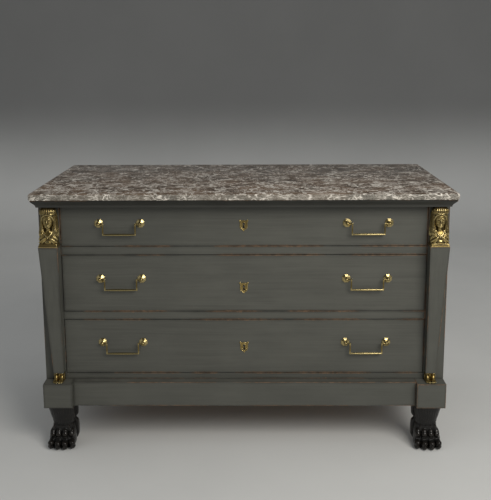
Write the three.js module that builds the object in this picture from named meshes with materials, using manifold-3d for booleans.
// Painted commode chest: three drawers between tapered pilasters that carry busts, on a plinth with
// projecting blocks, lion paw feet in front and a marble top.
// Millimetres, +Z up, +X to the viewer's right. The front faces -Y.
// The origin is on the floor, under the middle of the marble top.

import * as THREE from 'three';
import { mergeVertices } from 'three/addons/utils/BufferGeometryUtils.js';
import Module from 'manifold-3d';

const wasm = await Module();
wasm.setup();

// Fits
const SEAT_GAP = 0.3;
const CUT_OVERRUN = 4;

// Marble top
const TOP_WIDTH = 1340;
const TOP_DEPTH = 670;
const TOP_THICKNESS = 20;
const TOP_CORNER_RADIUS = 12;
const TOP_EDGE_ROUND = 3;
const FRONT_OVERHANG = 64;
const SIDE_OVERHANG = 16;
const BACK_OVERHANG = 6;

// Heights, from the floor up
const FOOT_HEIGHT = 145;
const PLINTH_HEIGHT = 82;
const BOTTOM_RAIL_HEIGHT = 20;
const LOWER_DRAWER_HEIGHT = 185;
const LOWER_RAIL_HEIGHT = 26;
const MIDDLE_DRAWER_HEIGHT = 190;
const UPPER_RAIL_HEIGHT = 27;
const UPPER_DRAWER_HEIGHT = 136;
const CORNICE_HEIGHT = 25;

// Cornice
const CORNICE_FILLET = 4;
const CORNICE_TOP_INSET = 6;
const CORNICE_COVE_REACH = 14;
const CORNICE_COVE_SAG_SHARE = 0.35;

// Carcass boards
const SIDE_THICKNESS = 20;
const STILE_WIDTH = 67;
const STILE_THICKNESS = 30;
const BACK_THICKNESS = 12;
const TOP_BOARD_THICKNESS = 24;
const RAIL_DEPTH = 60;
const RUNNER_BOARD_THICKNESS = 16;
const GUIDE_HEIGHT = 24;
const GUIDE_CLEARANCE = 0.8;

// Drawers
const DRAWER_GAP = 2;
const DRAWER_FRONT_THICKNESS = 22;
const DRAWER_SIDE_CLEARANCE = 2;
const DRAWER_SIDE_THICKNESS = 12;
const DRAWER_BACK_THICKNESS = 10;
const DRAWER_SPACE_BEHIND = 43;
const DRAWER_SIDE_DROP = 12;
const DRAWER_BOTTOM_THICKNESS = 7;
const DRAWER_BOTTOM_LIFT = 9;
const DRAWER_GROOVE_DEPTH = 5;

// Pilasters
const PILASTER_TOP_WIDTH = 62;
const PILASTER_FOOT_WIDTH = 33;
const PILASTER_TOP_PROJECTION = 44;
const PILASTER_FOOT_PROJECTION = 24;

// Small gilt feet under a pilaster
const GILT_FEET_HEIGHT = 27;
const GILT_FEET_WIDTH = 37;
const GILT_FEET_REACH = 47;

// Busts
const BUST_HEIGHT = 129;
const BUST_BASE_WIDTH = 62;
const BUST_BASE_DEPTH = 44;
const BUST_BASE_HEIGHT = 10;
const BUST_SHOULDER_WIDTH = 60;
const BUST_CAP_WIDTH = 51;
const BUST_HEAD_WIDTH = 32;

// Plinth
const BLOCK_WIDTH = 94;
const BLOCK_PROJECTION = 50;
const BLOCK_DEPTH = 100;
const PLINTH_PROJECTION = 30;
const PLINTH_RAIL_SEAT = 24;

// Paw feet, and the plain feet at the back
const PAW_WIDTH = 94;
const PAW_CENTRE_IN = 51;
const PAW_FRONT_REACH = 64;
const PAW_BACK_REACH = 40;
const BACK_FOOT_WIDTH = 62;
const BACK_FOOT_TAPER_SHARE = 0.8;

// Bail handles
const HANDLE_SPAN = 133;
const HANDLE_IN_FROM_END = 189;
const POST_STANDOFF = 15;
const ROSETTE_RADIUS = 14.5;
const ROSETTE_HEIGHT = 8;
const ROSETTE_RIM = 1.8;
const ROSETTE_TOP_RADIUS = 4.7;
const POST_NECK_RADIUS = 3.6;
const POST_BALL_RADIUS = 5.2;
const POST_SHANK_RADIUS = 3;
const POST_HOLE_CLEARANCE = 0.4;
const NUT_RADIUS = 6.5;
const NUT_HEIGHT = 5;
const BAIL_LEG_SPAN = 103;
const BAIL_DROP = 34.5;
const BAIL_LEG_THICKNESS = 5;
const BAIL_BAR_END_RADIUS = 2.7;
const BAIL_BAR_MIDDLE_RADIUS = 3.7;
const BAIL_PIN_RADIUS = 1.9;
const BAIL_PIN_CLEARANCE = 0.35;

// Keyhole plates and locks
const PLATE_WIDTH = 31;
const PLATE_HEIGHT = 40;
const PLATE_THICKNESS = 2.2;
const PLATE_BALL_RADIUS = 3.6;
const KEYHOLE_RADIUS = 3.7;
const KEYHOLE_HEIGHT = 17;
const KEYHOLE_WAIST = 4.4;
const KEYHOLE_FOOT = 6.6;
const LOCK_WIDTH = 70;
const LOCK_HEIGHT = 56;
const LOCK_DEPTH = 11;
const LOCK_PIN_RADIUS = 1.6;
const UPPER_LOCK_PIN_LENGTH = 16;
const LOWER_LOCK_PIN_LENGTH = 7;

// Places that follow from the sizes above
const halfTop = TOP_WIDTH / 2;
const frontY = -TOP_DEPTH / 2 + FRONT_OVERHANG;
const backY = TOP_DEPTH / 2 - BACK_OVERHANG;
const sideX = halfTop - SIDE_OVERHANG;
const openingX = sideX - STILE_WIDTH;
const plinthTopZ = FOOT_HEIGHT + PLINTH_HEIGHT;
const lowerDrawerZ = plinthTopZ + BOTTOM_RAIL_HEIGHT;
const lowerRailZ = lowerDrawerZ + LOWER_DRAWER_HEIGHT;
const middleDrawerZ = lowerRailZ + LOWER_RAIL_HEIGHT;
const upperRailZ = middleDrawerZ + MIDDLE_DRAWER_HEIGHT;
const upperDrawerZ = upperRailZ + UPPER_RAIL_HEIGHT;
const corniceZ = upperDrawerZ + UPPER_DRAWER_HEIGHT;
const topZ = corniceZ + CORNICE_HEIGHT;
const pilasterZ = plinthTopZ + GILT_FEET_HEIGHT + 2 * SEAT_GAP;
const bustZ = corniceZ - SEAT_GAP - BUST_HEIGHT;

// Finishes
function finish(color, roughness, metalness) {
  return new THREE.MeshStandardMaterial({ color, roughness, metalness });
}
const marble = finish(0x8d827c, 0.25, 0);
const greyPaint = finish(0x54544e, 0.6, 0);
const giltBrass = finish(0xb9a25c, 0.35, 1);
const blackWood = finish(0x16140f, 0.4, 0);
const oak = finish(0xa98a5c, 0.7, 0);
const steel = finish(0x5c5a56, 0.45, 1);

const chest = new THREE.Group();

function place(parent, name, geometry, material, x, y, z) {
  const mesh = new THREE.Mesh(geometry, material);
  mesh.name = name;
  mesh.position.set(x, y, z);
  parent.add(mesh);
  return mesh;
}

function groupAt(parent, x, y, z) {
  const group = new THREE.Group();
  group.position.set(x, y, z);
  parent.add(group);
  return group;
}

// Joining and cutting of closed shapes
function toSolid(geometry) {
  const bare = geometry.clone();
  bare.deleteAttribute('normal');
  bare.deleteAttribute('uv');
  const merged = mergeVertices(bare, 1e-4);
  return new wasm.Manifold(new wasm.Mesh({
    numProp: 3,
    vertProperties: merged.attributes.position.array,
    triVerts: new Uint32Array(merged.index.array),
  }));
}

function toGeometry(solid) {
  const mesh = solid.getMesh();
  const geometry = new THREE.BufferGeometry();
  geometry.setAttribute('position', new THREE.BufferAttribute(mesh.vertProperties, mesh.numProp));
  geometry.setIndex(new THREE.BufferAttribute(mesh.triVerts, 1));
  return geometry;
}

function join(...geometries) {
  return toGeometry(geometries.map(toSolid).reduce((whole, piece) => whole.add(piece)));
}

function cut(geometry, ...cutters) {
  const start = toSolid(geometry);
  return toGeometry(cutters.map(toSolid).reduce((whole, cutter) => whole.subtract(cutter), start));
}

function keepInside(geometry, keeper) {
  return toGeometry(toSolid(geometry).intersect(toSolid(keeper)));
}

// A box between two corners
function boxBetween(low, high) {
  const size = high.map((value, axis) => value - low[axis]);
  const middle = high.map((value, axis) => (value + low[axis]) / 2);
  return new THREE.BoxGeometry(...size).translate(...middle);
}

// A body with rounded or square sections stacked along Z.
// Each section gives its height z, its half sizes x and y, and the centre's offsets cx and cy.
function stackedBody(sections, sides, turn = 0, power = 1) {
  const body = new THREE.CylinderGeometry(1, 1, 1, sides, sections.length - 1);
  body.rotateX(Math.PI / 2);
  body.rotateZ(turn);
  const places = body.attributes.position;
  const steps = sections.length - 1;
  for (let i = 0; i < places.count; i += 1) {
    const section = sections[Math.round((places.getZ(i) + 1 / 2) * steps)];
    const squareX = Math.sign(places.getX(i)) * Math.abs(places.getX(i)) ** power;
    const squareY = Math.sign(places.getY(i)) * Math.abs(places.getY(i)) ** power;
    const x = squareX * section.x + (section.cx ?? 0);
    const y = squareY * section.y + (section.cy ?? 0);
    places.setXYZ(i, x, y, section.z);
  }
  return body;
}

// A four-sided tapered body: half sizes are given at the faces, so the unit corners are spread by root two
function taperedBox(sections) {
  const spread = sections.map((section) => ({
    ...section,
    x: section.x * Math.SQRT2,
    y: section.y * Math.SQRT2,
  }));
  return stackedBody(spread, 4, Math.PI / 4);
}

function ball(radiusX, radiusY, radiusZ, x, y, z, around = 12, down = 8) {
  return new THREE.SphereGeometry(1, around, down)
    .rotateX(Math.PI / 2)
    .scale(radiusX, radiusY, radiusZ)
    .translate(x, y, z);
}

// A round bar along X or Y between two places on that axis
function barAlongX(radius, fromX, toX, y, z, sides = 12) {
  return new THREE.CylinderGeometry(radius, radius, toX - fromX, sides)
    .rotateZ(Math.PI / 2)
    .translate((fromX + toX) / 2, y, z);
}

function barAlongY(radius, fromY, toY, x, z, sides = 12) {
  return new THREE.CylinderGeometry(radius, radius, toY - fromY, sides)
    .translate(x, (fromY + toY) / 2, z);
}

// Marble top with rounded corners and eased edges
function marbleTop() {
  const halfX = halfTop - TOP_EDGE_ROUND;
  const halfY = TOP_DEPTH / 2 - TOP_EDGE_ROUND;
  const corner = TOP_CORNER_RADIUS - TOP_EDGE_ROUND;
  const outline = new THREE.Shape();
  outline.moveTo(-halfX + corner, -halfY);
  outline.lineTo(halfX - corner, -halfY);
  outline.absarc(halfX - corner, -halfY + corner, corner, -Math.PI / 2, 0);
  outline.lineTo(halfX, halfY - corner);
  outline.absarc(halfX - corner, halfY - corner, corner, 0, Math.PI / 2);
  outline.lineTo(-halfX + corner, halfY);
  outline.absarc(-halfX + corner, halfY - corner, corner, Math.PI / 2, Math.PI);
  outline.lineTo(-halfX, -halfY + corner);
  outline.absarc(-halfX + corner, -halfY + corner, corner, Math.PI, Math.PI * 3 / 2);
  const slab = new THREE.ExtrudeGeometry(outline, {
    depth: TOP_THICKNESS - 2 * TOP_EDGE_ROUND,
    bevelThickness: TOP_EDGE_ROUND,
    bevelSize: TOP_EDGE_ROUND,
    bevelSegments: 2,
    curveSegments: 3,
  });
  return slab.translate(0, 0, TOP_EDGE_ROUND);
}
place(chest, 'marble_top', marbleTop(), marble, 0, 0, topZ);

// Cornice: a cove below a thin fillet, on the front and both ends, open at the back
function corniceMoulding() {
  const depthMiddle = (frontY + backY) / 2;
  const topX = halfTop - CORNICE_TOP_INSET;
  const topFrontY = -TOP_DEPTH / 2 + CORNICE_TOP_INSET;
  const step = (height, inset) => ({
    z: height,
    x: topX - inset,
    y: (backY - topFrontY - inset) / 2,
    cy: (backY + topFrontY + inset) / 2,
  });
  const coveHeight = CORNICE_HEIGHT - CORNICE_FILLET - SEAT_GAP;
  const coveShares = [0, 0.25, 0.5, 0.75, 1];
  const cove = coveShares.map((share) => {
    const sag = CORNICE_COVE_SAG_SHARE * Math.sin(share * Math.PI);
    return step(share * coveHeight, CORNICE_COVE_REACH * (1 - share + sag * (1 - share)));
  });
  const outer = taperedBox([...cove, step(CORNICE_HEIGHT - SEAT_GAP, 0)]);
  const inner = boxBetween(
    [-(sideX - SIDE_THICKNESS), frontY, -CUT_OVERRUN],
    [sideX - SIDE_THICKNESS, backY + CUT_OVERRUN, CORNICE_HEIGHT + CUT_OVERRUN],
  );
  const moulding = cut(outer, inner);
  return moulding.translate(0, -depthMiddle, 0);
}
place(chest, 'cornice', corniceMoulding(), greyPaint, 0, (frontY + backY) / 2, corniceZ);

// Carcass: sides with their front stiles, back, top board, rails and runner boards
function sidePanel(side) {
  const height = corniceZ - plinthTopZ - 2 * SEAT_GAP;
  const outer = side * sideX;
  const inner = side * (sideX - SIDE_THICKNESS);
  const stileInner = side * openingX;
  const outline = new THREE.Shape();
  outline.moveTo(outer, frontY);
  outline.lineTo(outer, backY);
  outline.lineTo(inner, backY);
  outline.lineTo(inner, frontY + STILE_THICKNESS);
  outline.lineTo(stileInner, frontY + STILE_THICKNESS);
  outline.lineTo(stileInner, frontY);
  return new THREE.ExtrudeGeometry(outline, { depth: height, bevelEnabled: false });
}
place(chest, 'side_left', sidePanel(-1), greyPaint, 0, 0, plinthTopZ + SEAT_GAP);
place(chest, 'side_right', sidePanel(1), greyPaint, 0, 0, plinthTopZ + SEAT_GAP);

const innerX = sideX - SIDE_THICKNESS - SEAT_GAP;
const backPanelFrontY = backY - BACK_THICKNESS;
place(chest, 'back_panel', boxBetween(
  [-innerX, 0, 0],
  [innerX, BACK_THICKNESS, corniceZ - FOOT_HEIGHT],
), oak, 0, backPanelFrontY, FOOT_HEIGHT);

place(chest, 'top_board', boxBetween(
  [-innerX, 0, 0],
  [innerX, backY - frontY - SEAT_GAP, TOP_BOARD_THICKNESS],
), oak, 0, frontY + SEAT_GAP, topZ - SEAT_GAP - TOP_BOARD_THICKNESS);

function rail(name, z, height) {
  const halfWidth = openingX - SEAT_GAP;
  const board = boxBetween([-halfWidth, 0, 0], [halfWidth, RAIL_DEPTH, height]);
  place(chest, name, board, greyPaint, 0, frontY, z);
}
rail('rail_upper', upperRailZ, UPPER_RAIL_HEIGHT);
rail('rail_lower', lowerRailZ, LOWER_RAIL_HEIGHT);
rail('rail_bottom', plinthTopZ + SEAT_GAP, BOTTOM_RAIL_HEIGHT - SEAT_GAP);

// Drawer box size, and the battens that guide it
const drawerBoxX = openingX - DRAWER_SIDE_CLEARANCE;
const drawerDepth = backPanelFrontY - frontY - DRAWER_SPACE_BEHIND;
const handleX = openingX - DRAWER_GAP - HANDLE_IN_FROM_END;
const guideX = drawerBoxX + GUIDE_CLEARANCE;
const runnerFrontY = frontY + RAIL_DEPTH + SEAT_GAP;
const runnerDepth = backPanelFrontY - SEAT_GAP - runnerFrontY;

// A runner board carries a drawer, and its upstanding battens guide the drawer's sides
function runnerBoard(name, railTopZ) {
  const outline = new THREE.Shape();
  outline.moveTo(-innerX, 0);
  outline.lineTo(innerX, 0);
  outline.lineTo(innerX, RUNNER_BOARD_THICKNESS + GUIDE_HEIGHT);
  outline.lineTo(guideX, RUNNER_BOARD_THICKNESS + GUIDE_HEIGHT);
  outline.lineTo(guideX, RUNNER_BOARD_THICKNESS);
  outline.lineTo(-guideX, RUNNER_BOARD_THICKNESS);
  outline.lineTo(-guideX, RUNNER_BOARD_THICKNESS + GUIDE_HEIGHT);
  outline.lineTo(-innerX, RUNNER_BOARD_THICKNESS + GUIDE_HEIGHT);
  const board = new THREE.ExtrudeGeometry(outline, { depth: runnerDepth, bevelEnabled: false });
  board.rotateX(Math.PI / 2);
  board.translate(0, runnerDepth, 0);
  place(chest, name, board, oak, 0, runnerFrontY, railTopZ - RUNNER_BOARD_THICKNESS);
}
runnerBoard('runner_board_upper', upperDrawerZ);
runnerBoard('runner_board_lower', middleDrawerZ);
runnerBoard('bottom_board', lowerDrawerZ);

// Plinth: a front rail between projecting blocks, and rails along the sides
const blockInnerX = sideX - BLOCK_WIDTH;
const blockFrontY = frontY - BLOCK_PROJECTION;
const plinthRailX = blockInnerX - SEAT_GAP;
place(chest, 'plinth_front', boxBetween(
  [-plinthRailX, 0, 0],
  [plinthRailX, PLINTH_PROJECTION + PLINTH_RAIL_SEAT, PLINTH_HEIGHT],
), greyPaint, 0, frontY - PLINTH_PROJECTION, FOOT_HEIGHT);

function plinthSide(name, side) {
  const outer = side * sideX;
  const inner = side * (sideX - SIDE_THICKNESS);
  const low = Math.min(outer, inner);
  const high = Math.max(outer, inner);
  const startY = blockFrontY + BLOCK_DEPTH + SEAT_GAP;
  const board = boxBetween([low, 0, 0], [high, backY - startY, PLINTH_HEIGHT]);
  place(chest, name, board, greyPaint, 0, startY, FOOT_HEIGHT);
}
plinthSide('plinth_side_left', -1);
plinthSide('plinth_side_right', 1);

const blockX = (sideX + blockInnerX) / 2;
function footBlock(name, side) {
  const block = boxBetween([-BLOCK_WIDTH / 2, 0, 0], [BLOCK_WIDTH / 2, BLOCK_DEPTH, PLINTH_HEIGHT]);
  place(chest, name, block, greyPaint, side * blockX, blockFrontY, FOOT_HEIGHT);
}
footBlock('foot_block_left', -1);
footBlock('foot_block_right', 1);

// Sections of a body from shares of its height, half width and reach to the front and the back
function sectionsFrom(shares, height, halfWidth, frontReach, backReach) {
  return shares.map(({ up, wide, front, back, across = 0 }) => ({
    z: up * height,
    x: wide * halfWidth,
    y: (front * frontReach + back * backReach) / 2,
    cx: across * halfWidth,
    cy: (back * backReach - front * frontReach) / 2,
  }));
}

function leaning(shares, side) {
  return shares.map((share) => ({ ...share, across: side * share.across }));
}

// A lion paw foot: a shank that narrows to the ankle, four toes with two joints each that turn a little
// outwards, a heel, and pointed locks of hair behind and on the inner side
function pawFoot(side) {
  const height = FOOT_HEIGHT - SEAT_GAP;
  const half = PAW_WIDTH / 2;
  const bodyFrom = (shares) => stackedBody(
    sectionsFrom(leaning(shares, side), height, half, PAW_FRONT_REACH, PAW_BACK_REACH), 12, 0, 0.85,
  );
  const shank = bodyFrom([
    { up: 0.14, wide: 0.84, front: 0.62, back: 0.86, across: -0.03 },
    { up: 0.34, wide: 0.81, front: 0.62, back: 0.88, across: -0.08 },
    { up: 0.47, wide: 0.74, front: 0.56, back: 0.82, across: -0.11 },
    { up: 0.58, wide: 0.7, front: 0.52, back: 0.74, across: -0.11 },
    { up: 0.72, wide: 0.76, front: 0.55, back: 0.74, across: -0.08 },
    { up: 0.86, wide: 0.85, front: 0.62, back: 0.78, across: -0.03 },
    { up: 1, wide: 0.93, front: 0.7, back: 0.82, across: 0.03 },
  ]);
  const pad = bodyFrom([
    { up: 0, wide: 0.86, front: 0.76, back: 0.94, across: 0.02 },
    { up: 0.12, wide: 0.9, front: 0.8, back: 1, across: 0.02 },
    { up: 0.26, wide: 0.86, front: 0.74, back: 0.96, across: 0 },
    { up: 0.42, wide: 0.72, front: 0.56, back: 0.86, across: -0.08 },
  ]);
  const tipShares = [
    { across: -0.67, front: 0.7 },
    { across: -0.2, front: 0.79 },
    { across: 0.27, front: 0.79 },
    { across: 0.72, front: 0.7 },
  ];
  const tipSizeShares = { wide: 0.26, deep: 0.28, tall: 0.125, up: 0.125 };
  const tips = tipShares.map(({ across, front }) => ball(
    half * tipSizeShares.wide, half * tipSizeShares.deep, height * tipSizeShares.tall,
    side * across * half, -front * PAW_FRONT_REACH, height * tipSizeShares.up, 9, 6,
  ));
  const jointShares = [
    { across: -0.66, front: 0.54 },
    { across: -0.24, front: 0.6 },
    { across: 0.19, front: 0.6 },
    { across: 0.6, front: 0.52 },
  ];
  const jointSizeShares = { wide: 0.24, deep: 0.34, tall: 0.125, up: 0.32 };
  const joints = jointShares.map(({ across, front }) => ball(
    half * jointSizeShares.wide, half * jointSizeShares.deep, height * jointSizeShares.tall,
    side * across * half, -front * PAW_FRONT_REACH, height * jointSizeShares.up, 9, 6,
  ));
  const lockShares = [
    { up: 0.84, across: -0.1, back: 0.7 },
    { up: 0.8, across: 0.34, back: 0.56 },
    { up: 0.5, across: 0.2, back: 0.72 },
    { up: 0.52, across: -0.34, back: 0.72 },
    { up: 0.8, across: -0.62, back: 0.5 },
    { up: 0.6, across: -0.7, back: 0.4 },
    { up: 0.34, across: -0.77, back: 0.5 },
  ];
  const lockSizeShares = { wide: 0.22, deep: 0.3, tall: 0.2 };
  const locks = lockShares.map(({ up, across, back }) => ball(
    half * lockSizeShares.wide, half * lockSizeShares.deep, height * lockSizeShares.tall, 0, 0, 0, 7, 5,
  ).translate(side * across * half, back * PAW_BACK_REACH, up * height));
  const keeper = boxBetween([-half, -PAW_FRONT_REACH, 0], [half, PAW_BACK_REACH, height]);
  return keepInside(join(shank, pad, ...tips, ...joints, ...locks), keeper);
}
const pawX = sideX - PAW_CENTRE_IN;
place(chest, 'paw_foot_left', pawFoot(-1), blackWood, -pawX, frontY, 0);
place(chest, 'paw_foot_right', pawFoot(1), blackWood, pawX, frontY, 0);

function backFoot(name, side) {
  const half = BACK_FOOT_WIDTH / 2;
  const foot = taperedBox([
    { z: 0, x: half * BACK_FOOT_TAPER_SHARE, y: half * BACK_FOOT_TAPER_SHARE },
    { z: FOOT_HEIGHT - SEAT_GAP, x: half, y: half },
  ]);
  place(chest, name, foot, blackWood, side * (sideX - half), backY - half, 0);
}
backFoot('back_foot_left', -1);
backFoot('back_foot_right', 1);

// Pilasters, which taper in width and in depth to the small gilt feet
const pilasterTopX = openingX + PILASTER_TOP_WIDTH / 2;
const pilasterFootX = blockX;
const pilasterHeight = bustZ - SEAT_GAP - pilasterZ;
function pilaster(name, side) {
  const depthAt = (projection) => ({
    y: (projection - SEAT_GAP) / 2,
    cy: -(projection + SEAT_GAP) / 2,
  });
  const footShift = side * (pilasterFootX - pilasterTopX);
  const shaft = taperedBox([
    { z: 0, x: PILASTER_FOOT_WIDTH / 2, cx: footShift, ...depthAt(PILASTER_FOOT_PROJECTION) },
    { z: pilasterHeight, x: PILASTER_TOP_WIDTH / 2, ...depthAt(PILASTER_TOP_PROJECTION) },
  ]);
  place(chest, name, shaft, greyPaint, side * pilasterTopX, frontY, pilasterZ);
}
pilaster('pilaster_left', -1);
pilaster('pilaster_right', 1);

// A pair of small bare feet, side by side, toes to the front
function giltFeet() {
  const middleShare = 0.49;
  const ankleShares = [
    { up: 0, wide: 0.44, front: 0.39, back: -0.05 },
    { up: 0.5, wide: 0.4, front: 0.4, back: -0.08 },
    { up: 1, wide: 0.46, front: 0.46, back: -0.06 },
  ];
  const soleShares = [
    { up: 0, wide: 0.51, front: 1, back: -0.13 },
    { up: 0.3, wide: 0.47, front: 1, back: -0.13 },
  ];
  const instepShares = [
    { up: 0.2, wide: 0.44, front: 0.9, back: -0.1 },
    { up: 0.5, wide: 0.4, front: 0.68, back: -0.12 },
    { up: 0.75, wide: 0.34, front: 0.44, back: -0.12 },
  ];
  const oneFoot = (side) => {
    const sections = (shares) => sectionsFrom(
      shares.map((share) => ({ ...share, across: side * middleShare })),
      GILT_FEET_HEIGHT, GILT_FEET_WIDTH / 2, GILT_FEET_REACH, GILT_FEET_REACH,
    );
    return join(
      stackedBody(sections(ankleShares), 10),
      taperedBox(sections(soleShares)),
      stackedBody(sections(instepShares), 10),
    );
  };
  return join(oneFoot(-1), oneFoot(1));
}
place(chest, 'gilt_feet_left', giltFeet(), giltBrass, -pilasterFootX, frontY, plinthTopZ + SEAT_GAP);
place(chest, 'gilt_feet_right', giltFeet(), giltBrass, pilasterFootX, frontY, plinthTopZ + SEAT_GAP);

// Busts: a stepped base, draped shoulders, neck and head, a headcloth with a brow band,
// and hair that falls beside the face
function bust() {
  const height = BUST_HEIGHT;
  const depth = BUST_BASE_DEPTH;
  const halfBase = BUST_BASE_WIDTH / 2;
  const halfShoulder = BUST_SHOULDER_WIDTH / 2;
  const halfCap = BUST_CAP_WIDTH / 2;
  const plateShare = 0.55;
  const stepShare = 0.95;
  const plate = boxBetween([-halfBase, -depth, 0], [halfBase, -SEAT_GAP, BUST_BASE_HEIGHT * plateShare]);
  const step = boxBetween(
    [-halfBase * stepShare, -depth * stepShare, 0],
    [halfBase * stepShare, -SEAT_GAP, BUST_BASE_HEIGHT],
  );
  const bodyShares = [
    { up: 0.07, wide: 0.97, front: 0.9, back: -0.06 },
    { up: 0.14, wide: 1, front: 0.92, back: -0.05 },
    { up: 0.24, wide: 0.96, front: 0.86, back: -0.06 },
    { up: 0.33, wide: 0.84, front: 0.78, back: -0.1 },
    { up: 0.39, wide: 0.6, front: 0.7, back: -0.16 },
    { up: 0.44, wide: 0.36, front: 0.66, back: -0.2 },
    { up: 0.6, wide: 0.32, front: 0.66, back: -0.2 },
  ];
  const capShares = [
    { up: 0.775, wide: 1, front: 0.93, back: -0.06 },
    { up: 0.83, wide: 1.03, front: 0.96, back: -0.05 },
    { up: 0.835, wide: 0.97, front: 0.9, back: -0.06 },
    { up: 0.91, wide: 1, front: 0.92, back: -0.06 },
    { up: 0.97, wide: 0.96, front: 0.88, back: -0.08 },
    { up: 1, wide: 0.86, front: 0.8, back: -0.14 },
  ];
  const hairShares = [
    { up: 0.24, wide: 0.2, front: 0.84, back: -0.12, across: 0.88 },
    { up: 0.36, wide: 0.27, front: 0.82, back: -0.06, across: 0.84 },
    { up: 0.58, wide: 0.26, front: 0.78, back: -0.05, across: 0.76 },
    { up: 0.8, wide: 0.3, front: 0.86, back: -0.06, across: 0.7 },
  ];
  const napeShares = [
    { up: 0.3, wide: 0.8, front: 0.4, back: -0.06 },
    { up: 0.56, wide: 0.84, front: 0.5, back: -0.06 },
    { up: 0.66, wide: 0.86, front: 0.6, back: -0.06 },
    { up: 0.8, wide: 0.9, front: 0.62, back: -0.06 },
  ];
  const body = stackedBody(sectionsFrom(bodyShares, height, halfShoulder, depth, depth), 16, 0, 0.8);
  const cap = stackedBody(sectionsFrom(capShares, height, halfCap, depth, depth), 16, 0, 0.75);
  const nape = stackedBody(sectionsFrom(napeShares, height, halfCap, depth, depth), 8, 0, 0.8);
  const hair = [-1, 1].map((side) => stackedBody(
    sectionsFrom(leaning(hairShares, side), height, halfCap, depth, depth), 8, 0, 0.8,
  ));
  const headShares = { up: 0.655, tall: 0.372, deep: 0.74, forward: 0.52 };
  const head = ball(BUST_HEAD_WIDTH / 2, depth * headShares.deep / 2, height * headShares.tall / 2,
    0, -depth * headShares.forward, height * headShares.up, 14, 10);
  const noseShares = [
    { up: 0.61, wide: 0.2, front: 0.96, back: -0.6 },
    { up: 0.7, wide: 0.12, front: 0.91, back: -0.6 },
  ];
  const nose = stackedBody(sectionsFrom(noseShares, height, BUST_HEAD_WIDTH / 2, depth, depth), 4);
  return join(plate, step, body, nape, head, nose, cap, ...hair);
}
place(chest, 'bust_left', bust(), giltBrass, -pilasterTopX, frontY, bustZ);
place(chest, 'bust_right', bust(), giltBrass, pilasterTopX, frontY, bustZ);

// Keyhole: a round top, a narrow waist and a wider foot, around the middle of the plate
function keyholePath(clearance) {
  const radius = KEYHOLE_RADIUS + clearance;
  const halfWaist = KEYHOLE_WAIST / 2 + clearance;
  const halfFoot = KEYHOLE_FOOT / 2 + clearance;
  const top = KEYHOLE_HEIGHT / 2 - KEYHOLE_RADIUS;
  const bottom = -KEYHOLE_HEIGHT / 2 - clearance;
  const lean = Math.asin(halfWaist / radius);
  const path = new THREE.Path();
  path.moveTo(-halfFoot, bottom);
  path.lineTo(halfFoot, bottom);
  path.lineTo(halfWaist, top - radius * Math.cos(lean));
  path.absarc(0, top, radius, lean - Math.PI / 2, Math.PI * 3 / 2 - lean, false);
  path.lineTo(-halfFoot, bottom);
  return path;
}

// Shield-shaped keyhole plate with a ball at each corner
function keyholePlate() {
  const halfWidth = PLATE_WIDTH / 2 - PLATE_BALL_RADIUS;
  const halfHeight = PLATE_HEIGHT / 2 - PLATE_BALL_RADIUS;
  const outline = new THREE.Shape();
  const plateShares = { waist: 0.8, waistDrop: 0.3, shoulder: 0.72, crown: 0.5, crownRise: 1.12 };
  const waistX = halfWidth * plateShares.waist;
  const waistZ = -halfHeight * plateShares.waistDrop;
  const shoulderZ = halfHeight * plateShares.shoulder;
  const crownX = halfWidth * plateShares.crown;
  outline.moveTo(0, -halfHeight);
  outline.quadraticCurveTo(waistX, waistZ, halfWidth, shoulderZ);
  outline.quadraticCurveTo(crownX, halfHeight, 0, halfHeight * plateShares.crownRise);
  outline.quadraticCurveTo(-crownX, halfHeight, -halfWidth, shoulderZ);
  outline.quadraticCurveTo(-waistX, waistZ, 0, -halfHeight);
  outline.holes.push(keyholePath(0));
  const plate = new THREE.ExtrudeGeometry(outline, {
    depth: PLATE_THICKNESS,
    bevelEnabled: false,
    curveSegments: 4,
  });
  const cornerBall = (x, z) => ball(
    PLATE_BALL_RADIUS, PLATE_BALL_RADIUS, PLATE_BALL_RADIUS, x, z, 0, 8, 6,
  );
  const whole = join(
    plate,
    cornerBall(0, -halfHeight),
    cornerBall(halfWidth, shoulderZ),
    cornerBall(-halfWidth, shoulderZ),
  );
  const keeper = boxBetween(
    [-PLATE_WIDTH, -PLATE_HEIGHT, 0],
    [PLATE_WIDTH, PLATE_HEIGHT, PLATE_THICKNESS + PLATE_BALL_RADIUS],
  );
  return keepInside(whole, keeper).rotateX(Math.PI / 2);
}

// A lock case in a recess of the drawer front, with its drill pin in the keyhole
function lockCase(pinLength) {
  const caseBody = boxBetween(
    [-LOCK_WIDTH / 2 + SEAT_GAP, 0, -LOCK_HEIGHT / 2 + SEAT_GAP],
    [LOCK_WIDTH / 2 - SEAT_GAP, LOCK_DEPTH, LOCK_HEIGHT / 2 - SEAT_GAP],
  );
  const pinZ = KEYHOLE_HEIGHT / 2 - KEYHOLE_RADIUS;
  const pin = barAlongY(LOCK_PIN_RADIUS, -pinLength, LOCK_DEPTH / 2, 0, pinZ, 10);
  return join(caseBody, pin);
}

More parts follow.
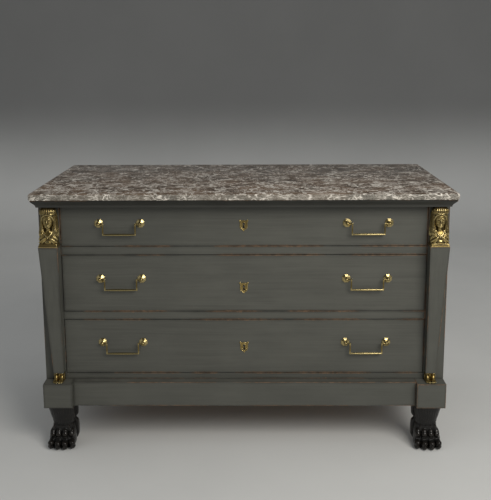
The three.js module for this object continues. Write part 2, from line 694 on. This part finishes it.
// A handle post: a faceted rosette on the drawer front, a neck and ball that hold the bail,
// and a shank with a nut
function handlePost(side) {
  const rosette = new THREE.LatheGeometry([
    new THREE.Vector2(0, 0),
    new THREE.Vector2(ROSETTE_RADIUS, 0),
    new THREE.Vector2(ROSETTE_RADIUS, ROSETTE_RIM),
    new THREE.Vector2(ROSETTE_TOP_RADIUS, ROSETTE_HEIGHT),
    new THREE.Vector2(0, ROSETTE_HEIGHT),
  ], 8, Math.PI / 8).rotateX(Math.PI).translate(0, -SEAT_GAP, 0);
  const neck = barAlongY(POST_NECK_RADIUS, -POST_STANDOFF, -SEAT_GAP, 0, 0, 8);
  const knob = ball(POST_BALL_RADIUS, POST_BALL_RADIUS, POST_BALL_RADIUS, 0, -POST_STANDOFF, 0, 8, 6);
  const shankEnd = DRAWER_FRONT_THICKNESS + SEAT_GAP + NUT_HEIGHT;
  const shank = barAlongY(POST_SHANK_RADIUS, -POST_STANDOFF, shankEnd, 0, 0, 8);
  const nut = barAlongY(NUT_RADIUS, DRAWER_FRONT_THICKNESS + SEAT_GAP, shankEnd, 0, 0, 6);
  const socketRadius = BAIL_PIN_RADIUS + BAIL_PIN_CLEARANCE;
  const socketEnd = side * (POST_BALL_RADIUS + CUT_OVERRUN);
  const socketStart = -side * (bailPinDepth + SEAT_GAP);
  const socket = barAlongX(
    socketRadius, Math.min(socketStart, socketEnd), Math.max(socketStart, socketEnd), -POST_STANDOFF, 0, 8,
  );
  return cut(join(rosette, neck, knob, shank, nut), socket);
}

// A bail: two pins into the posts, two legs and a bar that swells in its middle
const bailPinDepth = POST_BALL_RADIUS / 3;
function bail() {
  const halfSpan = HANDLE_SPAN / 2;
  const halfLegs = BAIL_LEG_SPAN / 2;
  const halfLeg = BAIL_LEG_THICKNESS / 2;
  const legs = [-1, 1].map((side) => boxBetween(
    [side * halfLegs - halfLeg, -halfLeg, -BAIL_DROP - BAIL_BAR_END_RADIUS],
    [side * halfLegs + halfLeg, halfLeg, halfLeg],
  ));
  const pins = [-1, 1].map((side) => {
    const pinEnd = side * (halfSpan + bailPinDepth);
    const pinStart = side * halfLegs;
    const low = Math.min(pinStart, pinEnd);
    const high = Math.max(pinStart, pinEnd);
    return barAlongX(BAIL_PIN_RADIUS, low, high, 0, 0, 10);
  });
  const barShares = [-1, -0.6, -0.2, 0.2, 0.6, 1];
  const profile = barShares.map((share) => {
    const swell = Math.cos(share * Math.PI / 2);
    const radius = BAIL_BAR_END_RADIUS + (BAIL_BAR_MIDDLE_RADIUS - BAIL_BAR_END_RADIUS) * swell;
    return new THREE.Vector2(radius, share * halfLegs);
  });
  const bar = new THREE.LatheGeometry([
    new THREE.Vector2(0, -halfLegs),
    ...profile,
    new THREE.Vector2(0, halfLegs),
  ], 10).rotateZ(Math.PI / 2).translate(0, 0, -BAIL_DROP);
  return join(bar, ...legs, ...pins);
}

// A drawer front with holes for the handle shanks and the keyhole, and a recess for the lock
function drawerFront(height, handleZ, keyholeZ) {
  const halfWidth = openingX - DRAWER_GAP;
  const outline = new THREE.Shape();
  outline.moveTo(-halfWidth, 0);
  outline.lineTo(halfWidth, 0);
  outline.lineTo(halfWidth, height);
  outline.lineTo(-halfWidth, height);
  const keyhole = new THREE.Path(keyholePath(SEAT_GAP).getPoints(5).map(
    (point) => new THREE.Vector2(point.x, point.y + keyholeZ),
  ));
  outline.holes.push(keyhole);
  const settings = { depth: DRAWER_FRONT_THICKNESS, bevelEnabled: false };
  const board = new THREE.ExtrudeGeometry(outline, settings);
  board.rotateX(Math.PI / 2).translate(0, DRAWER_FRONT_THICKNESS, 0);
  const shankHoles = postPlaces.map((x) => barAlongY(
    POST_SHANK_RADIUS + POST_HOLE_CLEARANCE, -CUT_OVERRUN, DRAWER_FRONT_THICKNESS + CUT_OVERRUN, x, handleZ, 8,
  ));
  const recess = boxBetween(
    [-LOCK_WIDTH / 2, DRAWER_FRONT_THICKNESS - LOCK_DEPTH - SEAT_GAP, keyholeZ - LOCK_HEIGHT / 2],
    [LOCK_WIDTH / 2, DRAWER_FRONT_THICKNESS + CUT_OVERRUN, keyholeZ + LOCK_HEIGHT / 2],
  );
  return cut(board, ...shankHoles, recess);
}
const postPlaces = [-1, 1].flatMap((side) => [-1, 1].map(
  (end) => side * handleX + end * HANDLE_SPAN / 2,
));

// The sides and back of a drawer, joined at the back corners, with grooves for the bottom panel
const boxStartY = DRAWER_FRONT_THICKNESS + SEAT_GAP;
const grooveZ = DRAWER_BOTTOM_LIFT;
const panelTopZ = DRAWER_BOTTOM_LIFT + DRAWER_BOTTOM_THICKNESS + SEAT_GAP;
function drawerBox(height) {
  const innerWallX = drawerBoxX - DRAWER_SIDE_THICKNESS;
  const walls = boxBetween([-drawerBoxX, boxStartY, 0], [drawerBoxX, drawerDepth, height]);
  const hollow = boxBetween(
    [-innerWallX, boxStartY - CUT_OVERRUN, -CUT_OVERRUN],
    [innerWallX, drawerDepth - DRAWER_BACK_THICKNESS, height + CUT_OVERRUN],
  );
  const underBack = boxBetween(
    [-innerWallX, drawerDepth - DRAWER_BACK_THICKNESS - CUT_OVERRUN, -CUT_OVERRUN],
    [innerWallX, drawerDepth + CUT_OVERRUN, panelTopZ],
  );
  const groove = boxBetween(
    [-innerWallX - DRAWER_GROOVE_DEPTH, boxStartY - CUT_OVERRUN, grooveZ],
    [innerWallX + DRAWER_GROOVE_DEPTH, drawerDepth + CUT_OVERRUN, panelTopZ],
  );
  return cut(walls, hollow, underBack, groove);
}

function drawerBottom() {
  const halfWidth = drawerBoxX - DRAWER_SIDE_THICKNESS + DRAWER_GROOVE_DEPTH - SEAT_GAP;
  return boxBetween(
    [-halfWidth, boxStartY, grooveZ + SEAT_GAP],
    [halfWidth, drawerDepth, grooveZ + DRAWER_BOTTOM_THICKNESS],
  );
}

// One drawer with its lock, keyhole plate, handle posts and bails
function drawer(label, openingZ, openingHeight, shares, pinLength) {
  const height = openingHeight - 2 * DRAWER_GAP;
  const handleZ = openingHeight * shares.handle;
  const keyholeZ = openingHeight * shares.keyhole;
  const group = groupAt(chest, 0, frontY, openingZ);
  const front = drawerFront(height, handleZ - DRAWER_GAP, keyholeZ - DRAWER_GAP);
  const box = drawerBox(openingHeight - DRAWER_SIDE_DROP);
  place(group, `drawer_${label}_front`, front, greyPaint, 0, 0, DRAWER_GAP);
  place(group, `drawer_${label}_box`, box, oak, 0, 0, SEAT_GAP);
  place(group, `drawer_${label}_bottom`, drawerBottom(), oak, 0, 0, SEAT_GAP);
  place(group, `keyhole_plate_${label}`, keyholePlate(), giltBrass, 0, -SEAT_GAP, keyholeZ);
  const lockY = DRAWER_FRONT_THICKNESS - LOCK_DEPTH;
  place(group, `lock_${label}`, lockCase(pinLength), steel, 0, lockY, keyholeZ);
  for (const [word, side] of [['left', -1], ['right', 1]]) {
    const handle = groupAt(group, side * handleX, 0, handleZ);
    const halfSpan = HANDLE_SPAN / 2;
    place(handle, `post_${label}_${word}_a`, handlePost(1), giltBrass, -halfSpan, 0, 0);
    place(handle, `post_${label}_${word}_b`, handlePost(-1), giltBrass, halfSpan, 0, 0);
    place(handle, `bail_${label}_${word}`, bail(), giltBrass, 0, -POST_STANDOFF, 0);
  }
}
const upperShares = { handle: 0.56, keyhole: 0.51 };
const middleShares = { handle: 0.585, keyhole: 0.425 };
const lowerShares = { handle: 0.58, keyhole: 0.49 };
drawer('upper', upperDrawerZ, UPPER_DRAWER_HEIGHT, upperShares, UPPER_LOCK_PIN_LENGTH);
drawer('middle', middleDrawerZ, MIDDLE_DRAWER_HEIGHT, middleShares, UPPER_LOCK_PIN_LENGTH);
drawer('lower', lowerDrawerZ, LOWER_DRAWER_HEIGHT, lowerShares, LOWER_LOCK_PIN_LENGTH);

export default chest;
